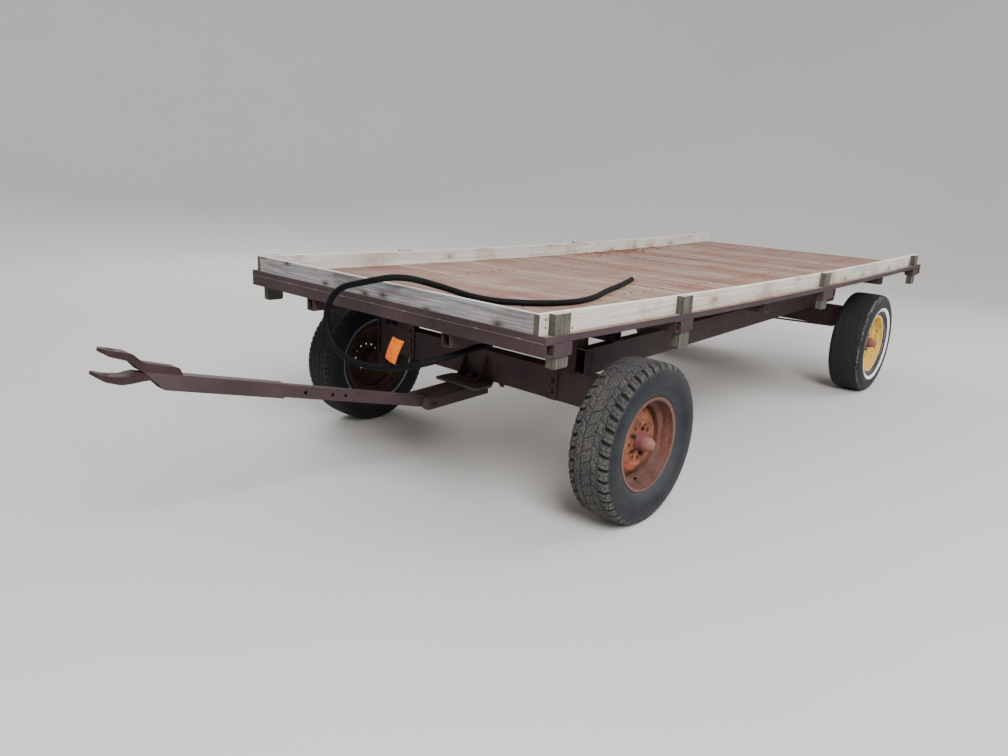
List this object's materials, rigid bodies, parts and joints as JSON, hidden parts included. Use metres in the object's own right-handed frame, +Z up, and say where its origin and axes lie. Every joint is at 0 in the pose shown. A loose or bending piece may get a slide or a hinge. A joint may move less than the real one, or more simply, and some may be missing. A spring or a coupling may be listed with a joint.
{
  "type": "dump trailer",
  "caption": "Flat deck dump trailer: a tipping planked deck with low timber boards on a four wheel steerable gear, with a telescoping tongue and clevis hitch.",
  "frame": {"origin": "on the ground, under the middle of the whole trailer from its clevis to the deck's rear edge", "axes": "+X forward towards the clevis, +Y to the trailer's left, +Z up"},
  "size_m": [6.0616, 2.134, 1.0754],
  "materials": {
    "frame_paint": "faded dark brown paint",
    "tongue_paint": "worn red-brown paint",
    "deck_wood": "worn pinkish brown planks",
    "board_wood": "weathered grey white timber",
    "stake_wood": "weathered grey green timber",
    "tyre_rubber": "dusty black rubber",
    "front_wheel_paint": "rusty orange brown",
    "rear_wheel_paint": "faded yellow",
    "hub_paint": "dull dark red",
    "bare_steel": "worn steel",
    "hose_rubber": "black hose"
  },
  "bodies": {
    "chassis": {"frame_channel_left": "frame_paint", "frame_channel_right": "frame_paint", "front_axle": "frame_paint", "front_bolster": "frame_paint", "rear_bolster": "frame_paint", "frame_hoist_bracket": "frame_paint", "rear_axle": "frame_paint", "hinge_ears": "frame_paint", "hinge_pin": "bare_steel", "truss_rod": "frame_paint", "steering_pivot": "frame_paint"},
    "bed": {"deck_planks": "deck_wood", "edge_strips": "frame_paint", "crossmembers": "frame_paint", "deck_rails": "frame_paint", "side_board_left": "board_wood", "side_board_right": "board_wood", "front_board": "board_wood", "stakes_left": "stake_wood", "stakes_right": "stake_wood", "stake_pockets_left": "frame_paint", "stake_pockets_right": "frame_paint", "bed_hinge_lugs": "frame_paint", "bed_hoist_bracket": "frame_paint", "hose": "hose_rubber", "hose_port": "bare_steel", "hose_fitting": "bare_steel"},
    "steering": {"steering_plate": "tongue_paint", "hound_legs": "tongue_paint", "lift_pin": "bare_steel"},
    "tongue": {"tongue_rear_tube": "tongue_paint", "tongue_front_tube": "tongue_paint", "clevis_upper": "tongue_paint", "clevis_lower": "tongue_paint"},
    "knuckle_left": {"knuckle_left": "frame_paint"},
    "knuckle_right": {"knuckle_right": "frame_paint"},
    "tie_rod_left": {"tie_rod_left": "frame_paint"},
    "tie_rod_right": {"tie_rod_right": "frame_paint"},
    "hoist_barrel": {"hoist_barrel": "frame_paint"},
    "hoist_rod": {"hoist_rod": "bare_steel"},
    "wheel_front_left": {"tyre_front_left": "tyre_rubber", "wheel_front_left": "front_wheel_paint", "hub_front_left": "hub_paint"},
    "wheel_front_right": {"tyre_front_right": "tyre_rubber", "wheel_front_right": "front_wheel_paint", "hub_front_right": "hub_paint"},
    "wheel_rear_left": {"tyre_rear_left": "tyre_rubber", "wheel_rear_left": "rear_wheel_paint", "hub_rear_left": "hub_paint"},
    "wheel_rear_right": {"tyre_rear_right": "tyre_rubber", "wheel_rear_right": "rear_wheel_paint", "hub_rear_right": "hub_paint"}
  },
  "joints": [
    {"name": "bed_tip", "type": "hinge", "parent": "chassis", "child": "bed", "pos_m": [-2.45375, 0, 0.771], "axis": [0, -1, 0], "range_deg": [0, 40]},
    {"name": "hoist_swing", "type": "hinge", "parent": "chassis", "child": "hoist_barrel", "pos_m": [-0.65375, 0, 0.48], "axis": [0, 1, 0], "range_deg": [0, 12.09]},
    {"name": "hoist_extend", "type": "slide", "parent": "hoist_barrel", "child": "hoist_rod", "axis": [-0.9834, 0, 0.1815], "range_m": [0, 0.1768]},
    {"name": "tongue_swing", "type": "hinge", "parent": "chassis", "child": "steering", "pos_m": [1.20025, 0, 0.454], "axis": [0, 0, 1], "range_deg": [-32, 32]},
    {"name": "tongue_lift", "type": "hinge", "parent": "steering", "child": "tongue", "pos_m": [1.53125, 0, 0.405], "axis": [0, -1, 0], "range_deg": [-27, 10]},
    {"name": "steer_left", "type": "hinge", "parent": "chassis", "child": "knuckle_left", "pos_m": [1.11425, 0.79, 0.543], "axis": [0, 0, 1], "range_deg": [-29.5, 29.5]},
    {"name": "tie_rod_left_swing", "type": "hinge", "parent": "steering", "child": "tie_rod_left", "pos_m": [1.01025, 0.055, 0.419], "axis": [0, 0, 1], "range_deg": [-34.5, 34.5]},
    {"name": "steer_right", "type": "hinge", "parent": "chassis", "child": "knuckle_right", "pos_m": [1.11425, -0.79, 0.543], "axis": [0, 0, 1], "range_deg": [-29.5, 29.5]},
    {"name": "tie_rod_right_swing", "type": "hinge", "parent": "steering", "child": "tie_rod_right", "pos_m": [1.01025, -0.055, 0.419], "axis": [0, 0, 1], "range_deg": [-34.5, 34.5]},
    {"name": "wheel_front_left_spin", "type": "hinge", "parent": "knuckle_left", "child": "wheel_front_left", "pos_m": [1.11425, 0.957, 0.3734], "axis": [0, 1, 0], "continuous": true},
    {"name": "wheel_front_right_spin", "type": "hinge", "parent": "knuckle_right", "child": "wheel_front_right", "pos_m": [1.11425, -0.957, 0.3734], "axis": [0, 1, 0], "continuous": true},
    {"name": "wheel_rear_left_spin", "type": "hinge", "parent": "chassis", "child": "wheel_rear_left", "pos_m": [-2.24475, 0.866, 0.3734], "axis": [0, 1, 0], "continuous": true},
    {"name": "wheel_rear_right_spin", "type": "hinge", "parent": "chassis", "child": "wheel_rear_right", "pos_m": [-2.24475, -0.866, 0.3734], "axis": [0, 1, 0], "continuous": true}
  ],
  "couplings": [
    {"joint": "hoist_swing", "follows": "bed_tip", "ratio": 0.30098},
    {"joint": "hoist_extend", "follows": "bed_tip", "m_per_rad": 0.25248},
    {"joint": "steer_left", "follows": "tongue_swing", "ratio": 0.906},
    {"joint": "steer_right", "follows": "tongue_swing", "ratio": 0.906},
    {"joint": "tie_rod_left_swing", "follows": "tongue_swing", "ratio": -1.071},
    {"joint": "tie_rod_right_swing", "follows": "tongue_swing", "ratio": -1.071}
  ]
}
